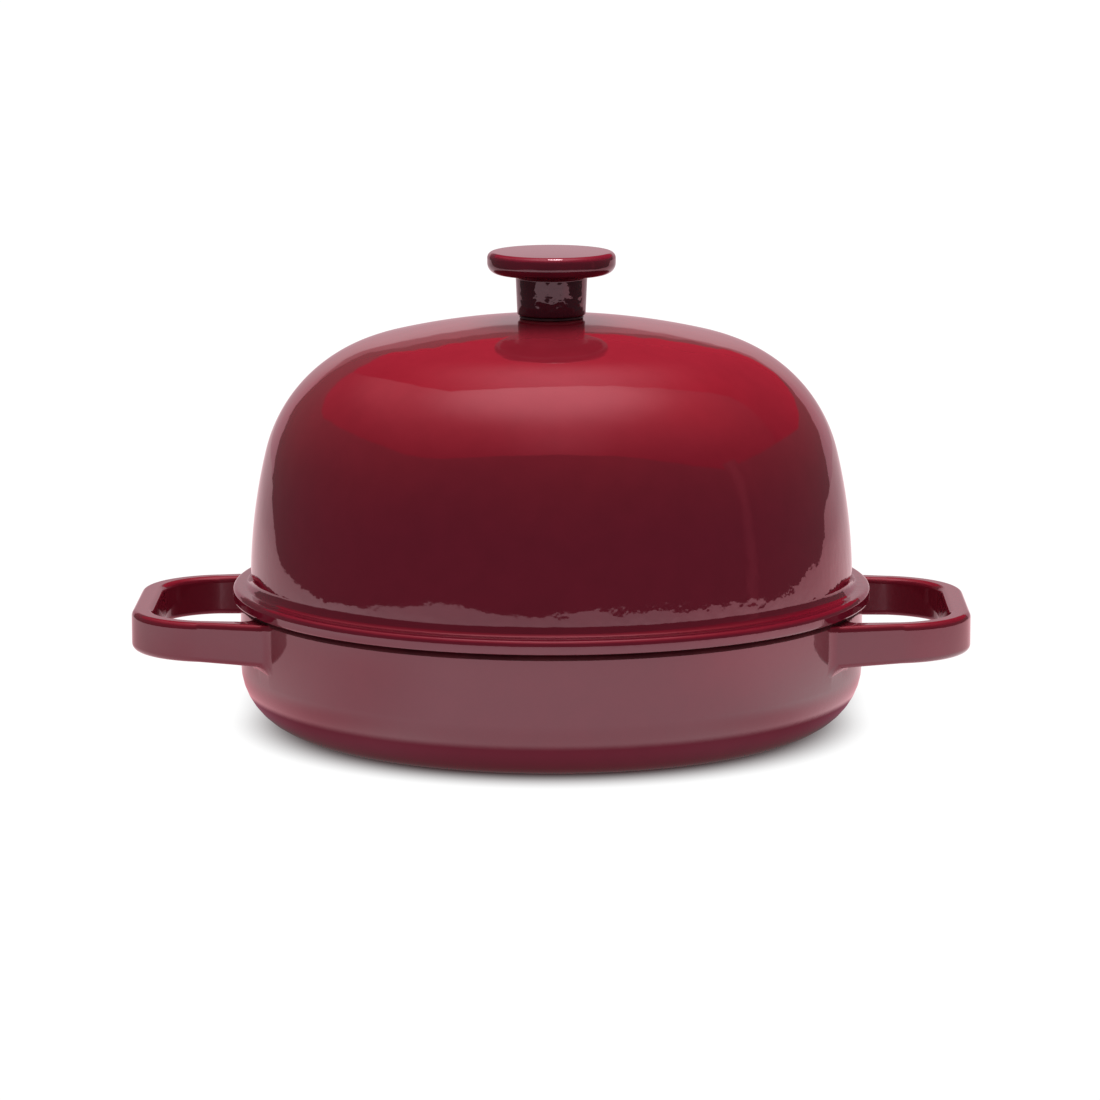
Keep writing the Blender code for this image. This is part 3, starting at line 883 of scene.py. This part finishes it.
plain_washer_top = spot_face_height() - SEAT_GAP
spring_washer_top = plain_washer_top - FLAT_WASHER_THICKNESS - SEAT_GAP
screw_head_top = spring_washer_top - LOCK_WASHER_THICKNESS - SEAT_GAP

for piece, body, node, slot in (
    (pan_casting([pan_enamel, baking_side, seating_edge]), "base", "base_pan", "pan_enamel"),
    (lid_casting([lid_enamel, baking_side, seating_edge]), "lid", "dome_lid", "lid_enamel"),
    (knob_casting([knob_enamel]), "lid", "lid_knob", "knob_enamel"),
    (knob_seal([seal_rubber()]), "lid", "knob_gasket", "gasket"),
    (plain_washer([steel], plain_washer_top), "lid", "flat_washer", "hardware"),
    (spring_washer([steel], spring_washer_top), "lid", "lock_washer", "hardware"),
    (knob_screw([steel], screw_head_top), "lid", "knob_screw", "hardware"),
):
    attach(piece, body)
    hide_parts(node)


# ---- Camera: the photograph's own view, 1100 x 1100

FOCAL_PIXELS = 5000
PHOTO_SIZE = 1100
ELEVATION = math.radians(10.4)
AZIMUTH = math.radians(0.6)
VIEW_DISTANCE = 2.05
AIM = Vector((-0.0006, 0, 0.0562))
RAISED_PIXELS = 34.1

camera_data = bpy.data.cameras.new("camera")
camera_data.sensor_width = 36
camera_data.lens = camera_data.sensor_width * FOCAL_PIXELS / PHOTO_SIZE
camera_data.clip_start = 0.1
camera_data.clip_end = 100
camera = new_object("camera", camera_data)
level = math.cos(ELEVATION)
towards_camera = Vector((level * math.sin(AZIMUTH), -level * math.cos(AZIMUTH), math.sin(ELEVATION)))
camera.location = AIM + VIEW_DISTANCE * towards_camera
camera.rotation_euler = (math.pi / 2 - ELEVATION + math.atan(RAISED_PIXELS / FOCAL_PIXELS), 0, AZIMUTH)
bpy.context.scene.camera = camera
bpy.context.scene.view_settings.view_transform = "Standard"


# ---- The studio: what the glossy enamel mirrors, and soft light from above

# Brightness of the white that the camera sees, and of the room for the enamel and for soft light
WHITE = 1.05
DIM_ROOM = 0.13
ROOM_FILL = 0.45

# Where the sheets are; floor and table lie a hair below the pan's underside
FLOOR_HEIGHT = -0.0002
FLOOR_REACH = 12.0
TABLE_HEIGHT = -0.0001
CEILING_HEIGHT = 1.5
BACKDROP_DISTANCE = 2.0
STAND_DISTANCE = 2.95
STAND_MIDDLE = -0.49

# The floor's shade fades out between two distances from the middle, and reaches further at the back
CONTACT_SHADE = (0.102, 0.136)
SHADE_BACK = 0.07
SHADED_PAPER = (0.5, 0.5, 0.5, 1)

# The mirrored table carries a painted shadow under the pan, with a painted fringe of light before its lit
# part begins
FRINGE_STARTS = (0.112, 0.128)
LIT_STARTS = (0.129, 0.137)

FLOOR_OUTLINE = [(x * FLOOR_REACH, y * FLOOR_REACH) for x, y in ((-1, -1), (1, -1), (1, 1), (-1, 1))]

# Drawn outlines of what the photograph's enamel mirrors
TABLE_OUTLINE = [
    (-0.02, -0.71), (-0.14, -0.67), (-0.25, -0.69), (-0.36, -0.70), (-0.50, -0.76), (-0.59, -0.66),
    (-0.56, -0.44), (-0.53, -0.30), (-0.53, -0.18), (-0.55, 0.00), (-0.59, 0.10), (-0.62, 0.20),
    (-0.68, 0.36), (-0.80, 0.52), (-0.95, 0.75), (-1.34, 1.37), (-1.80, 2.05), (2.20, 2.05), (1.71, 1.39),
    (1.17, 0.85), (0.90, 0.55), (0.73, 0.37), (0.75, 0.24), (0.68, 0.13), (0.59, 0.03), (0.59, -0.10),
    (0.59, -0.25), (0.57, -0.40), (0.52, -0.51), (0.44, -0.61), (0.29, -0.67), (0.17, -0.74),
    (0.07, -0.74),
]
BACKDROP_OUTLINE = [
    (-1.62, -0.01), (-1.50, 0.09), (-1.45, 0.19), (-1.36, 0.28), (-1.29, 0.38), (-1.19, 0.46),
    (-1.11, 0.55), (-1.02, 0.67), (-0.88, 0.76), (-0.77, 0.84), (-0.46, 0.83), (-0.37, 0.83),
    (-0.29, 0.87), (-0.15, 0.88), (0.11, 0.86), (0.18, 0.78), (0.26, 0.73), (0.48, 0.79), (0.75, 0.75),
    (0.93, 0.66), (1.09, 0.64), (1.21, 0.55), (1.34, 0.47), (1.40, 0.35), (1.52, 0.25), (1.58, 0.15),
    (1.64, 0.05), (1.66, -0.01),
]

# The two parts of the ceiling share a seam
CEILING_SEAM = [
    (-1.22, 2.40), (-1.10, 1.79), (-0.90, 1.22), (-0.72, 0.71), (-0.56, 0.42), (-0.29, 0.35), (0.15, 0.42),
    (0.64, 0.55), (1.20, 0.90), (3.35, 1.31),
]
FRONT_CEILING_EDGE = [
    (3.38, 0.17), (3.40, -0.83), (2.24, -1.17), (1.47, -1.25), (0.60, -1.31), (0.03, -1.34), (-0.84, -1.33),
    (-1.38, -1.23), (-1.68, -1.06), (-1.88, -0.80), (-2.02, -0.42), (-2.14, 0.00), (-2.28, 0.80),
    (-2.46, 1.80), (-2.30, 2.15), (-1.90, 2.35), (-1.50, 2.44),
]
REAR_CEILING_EDGE = [
    (3.60, 3.15), (2.60, 4.40), (1.58, 4.75), (1.32, 4.48), (0.93, 4.29), (0.51, 4.20), (0.33, 3.75),
    (0.18, 3.63), (-0.25, 3.16), (-0.45, 3.13), (-0.64, 3.35), (-0.84, 2.89), (-0.97, 2.62), (-1.12, 2.52),
]

# A pale upright on the right, as its Y and Z
STAND_OUTLINE = [(-0.70, -0.35), (-0.28, -0.35), (-0.28, 1.60), (-0.70, 1.60)]


def flat_sheet(name, outline, place, finish):
    """A flat card from its outline; place puts each of its points in space."""
    shape = bmesh.new()
    shape.faces.new([shape.verts.new(place(*point)) for point in outline])
    card = new_object(name, new_mesh(name, shape, [finish]))
    return card


def lying(height):
    """A way to put the points of an outline at one height."""
    return lambda x, y: (x, y, height)


def only_in_gloss(card):
    """Leaves a card to be seen only as a reflection in glossy surfaces."""
    card.visible_camera = False
    card.visible_diffuse = False
    card.visible_transmission = False
    card.visible_shadow = False


def bare_material(name):
    """A material without a surface yet, and its wiring."""
    made = bpy.data.materials.new(name)
    made.use_nodes = True
    made.node_tree.nodes.clear()
    return made, Wiring(made.node_tree)


def shining(name, paint):
    """A finish that shines by itself, painted by a function of the wiring and the place."""
    made, wire = bare_material(name)
    light = wire.node("Emission", {"Color": paint(wire, wire.place())}).outputs["Emission"]
    wire.node("OutputMaterial", {"Surface": light})
    return made


def pool(wire, place, middle, reach, fall):
    """How near a place is to the middle of a soft pool of light: 1 there, and 0 far off."""
    away = wire.vector("LENGTH", wire.vector("DIVIDE", wire.vector("SUBTRACT", place, middle), reach))
    return wire.math("EXPONENT", wire.math("MULTIPLY", wire.math("POWER", away, fall), -1.0))


def floor_paper():
    """White paper that is shaded only close round the oven's foot, a little further at the back."""
    made, wire = bare_material("floor_paper")
    axes = wire.axes(wire.place())
    back = wire.math("MINIMUM", wire.math("MAXIMUM", axes["Y"], 0.0), SHADE_BACK)
    moved = wire.math("SUBTRACT", axes["Y"], back)
    across = wire.node("CombineXYZ", {"X": axes["X"], "Y": moved}).outputs["Vector"]
    away = wire.spread(wire.vector("LENGTH", across), *CONTACT_SHADE)
    paper = wire.node("BsdfDiffuse", {"Color": SHADED_PAPER}).outputs["BSDF"]
    white = wire.node("Emission", {"Color": (1, 1, 1, 1), "Strength": WHITE}).outputs["Emission"]
    both = wire.node("MixShader", {0: away, 1: paper, 2: white}).outputs["Shader"]
    wire.node("OutputMaterial", {"Surface": both})
    return made


def tinted(wire, colour, share, tint):
    """A colour tinted where a share from 0 to 1 says so."""
    return wire.mix(1.0, colour, wire.mix(share, (1, 1, 1, 1), tint), "MULTIPLY")


def table_paint(wire, place):
    """The lit table as the enamel mirrors it: bright in front, dim behind, and a painted shadow close round
    the pan.
    """
    away = wire.vector("LENGTH", place)
    axes = wire.axes(place)
    behind = wire.math("DIVIDE", axes["Y"], away)
    side = wire.math("DIVIDE", axes["X"], away)
    ends = wire.spread(wire.math("ABSOLUTE", side), 0.50, 0.90)
    front = wire.mix(wire.spread(away, 0.32, 0.62), (2.15, 2.12, 2.12, 1), (1.45, 1.42, 1.42, 1))
    back = wire.mix(wire.spread(away, 0.40, 1.20), (1.08, 0.76, 0.80, 1), (0.80, 0.56, 0.60, 1))
    lit = wire.mix(wire.spread(behind, -0.45, 0.50), front, back)

    # Painted light: dimmer near on the left, brighter further off on the right, and painted shade right
    # beside the pan
    left_near = wire.math("MULTIPLY", wire.spread(side, -0.45, -0.95), wire.spread(away, 0.45, 0.30))
    lit = tinted(wire, lit, left_near, (0.85, 0.68, 0.70, 1))
    right_far = wire.math("MULTIPLY", wire.spread(side, 0.45, 0.95), wire.spread(away, 0.18, 0.35))
    lit = tinted(wire, lit, right_far, (1.25, 0.97, 1.0, 1))
    beside_pan = wire.mix(ends, (0.92, 0.88, 0.88, 1), (0.84, 0.56, 0.60, 1))
    lit = tinted(wire, lit, wire.spread(away, 0.20, 0.14), beside_pan)

    # Painted shadow under the pan, ringed by a painted fringe of light
    fringe = wire.mix(ends, (0.60, 0.28, 0.38, 1), (0.34, 0.13, 0.18, 1))
    under = wire.mix(wire.spread(away, *FRINGE_STARTS), (0.12, 0.10, 0.10, 1), fringe)
    return wire.mix(wire.spread(away, *LIT_STARTS), under, lit)


def backdrop_paint(wire, place):
    """Brighter upwards and towards its left and right ends, and dimmer in a band along its top."""
    axes = wire.axes(place)
    outer = wire.spread(wire.math("ABSOLUTE", axes["X"]), 0.6, 1.0)
    middle = wire.mix(wire.spread(axes["Z"], 0.2, 0.6), (0.62, 0.43, 0.47, 1), (0.74, 0.54, 0.58, 1))
    low = wire.mix(outer, middle, (0.70, 0.42, 0.48, 1))
    return wire.mix(wire.spread(axes["Z"], 0.66, 0.71), low, (0.40, 0.25, 0.27, 1))


def glow_over(wire, place, base, pools):
    """A base colour on the ceiling, with soft pools of light added to it.

    A pool is its middle, its reach along X and Y, how steeply it falls off, and its colour.
    """
    for (x, y), reach, fall, colour in pools:
        share = pool(wire, place, (x, y, CEILING_HEIGHT), (*reach, 1), fall)
        base = wire.mix(1.0, base, wire.mix(share, (0, 0, 0, 1), colour), "ADD")
    return base


def rear_ceiling_paint(wire, place):
    """Red all over, with a pale pool above the oven."""
    return glow_over(wire, place, (0.70, 0.03, 0.06, 1), [
        ((0.05, 0.0), (1.35, 1.25), 2.0, (1.50, 0.0, 0.03, 1)),
        ((0.03, 0.42), (0.48, 0.78), 2.0, (0.65, 0.70, 0.76, 1)),
    ])


def front_ceiling_paint(wire, place):
    """Red all over, with a pale pool above the oven, its tail forward, and a glow on each side."""
    return glow_over(wire, place, (0.68, 0.06, 0.09, 1), [
        ((0.0, 0.0), (1.35, 1.25), 2.0, (1.20, 0.24, 0.28, 1)),
        ((-0.02, 0.10), (0.64, 0.57), 3.0, (2.00, 1.45, 1.50, 1)),
        ((0.10, -0.85), (0.45, 0.55), 2.0, (0.45, 0.24, 0.26, 1)),
        ((-0.95, 0.75), (0.45, 0.80), 2.0, (0.60, 0.18, 0.20, 1)),
        ((0.90, 0.15), (0.80, 0.45), 2.0, (0.45, 0.0, 0.0, 1)),
    ])


def stand_paint(wire, place):
    """A pale upright that fades out on both sides."""
    across = wire.math("ABSOLUTE", wire.math("SUBTRACT", wire.axes(place)["Y"], STAND_MIDDLE))
    return wire.mix(wire.spread(across, 0.02, 0.21), (0.42, 0.19, 0.21, 1), (0.13, 0.12, 0.12, 1))


def soft_light(name, shape, size, watts, place, target):
    """An area light at a place, that shines towards a target."""
    data = bpy.data.lights.new(name, "AREA")
    data.shape = shape
    data.size = size
    data.energy = watts
    light = new_object(name, data)
    light.location = place
    light.rotation_euler = (Vector(target) - light.location).to_track_quat("-Z", "Y").to_euler()
    return light


def shine_only_on(light, piece):
    """Leaves a light to show on one piece only."""
    lit = bpy.data.collections.new(f"lit_by_{light.name}")
    lit.objects.link(bpy.data.objects[piece])
    light.light_linking.receiver_collection = lit


def light_room():
    """A world that is white to the camera, dim in the enamel, and in between for soft light."""
    world = bpy.data.worlds.new("studio")
    bpy.context.scene.world = world
    world.use_nodes = True
    world.node_tree.nodes.clear()
    wire = Wiring(world.node_tree)
    rays = wire.node("LightPath").outputs
    white, dim, fill = (
        wire.node("Background", {"Color": (1, 1, 1, 1), "Strength": strength}).outputs["Background"]
        for strength in (WHITE, DIM_ROOM, ROOM_FILL)
    )
    unseen = wire.node("MixShader", {0: rays["Is Diffuse Ray"], 1: dim, 2: fill}).outputs["Shader"]
    both = wire.node("MixShader", {0: rays["Is Camera Ray"], 1: unseen, 2: white}).outputs["Shader"]
    wire.node("OutputWorld", {"Surface": both})


floor = flat_sheet("floor", FLOOR_OUTLINE, lying(FLOOR_HEIGHT), floor_paper())
floor.visible_diffuse = False
floor.visible_glossy = False
floor.visible_transmission = False

for name, outline, place, paint in (
    ("table", TABLE_OUTLINE, lying(TABLE_HEIGHT), table_paint),
    ("backdrop", BACKDROP_OUTLINE, lambda x, z: (x, BACKDROP_DISTANCE, z), backdrop_paint),
    ("rear_ceiling", CEILING_SEAM + REAR_CEILING_EDGE, lying(CEILING_HEIGHT), rear_ceiling_paint),
    ("front_ceiling", CEILING_SEAM + FRONT_CEILING_EDGE, lying(CEILING_HEIGHT), front_ceiling_paint),
    ("stand", STAND_OUTLINE, lambda y, z: (STAND_DISTANCE, y, z), stand_paint),
):
    only_in_gloss(flat_sheet(f"mirrored_{name}", outline, place, shining(f"{name}_glow", paint)))

overhead = soft_light(
    "overhead_softbox", shape="SQUARE", size=0.70, watts=9, place=(0.05, 0.30, 1.20), target=(0, 0, 0.05),
)
overhead.visible_glossy = False

# A small bright lamp that shows only on the knob's edge
knob_lamp = soft_light(
    "knob_lamp", shape="DISK", size=0.28, watts=5.5, place=(0.06, 0.14, 1.37), target=(0, 0, 0.19),
)
shine_only_on(knob_lamp, "knob_casting")

light_room()
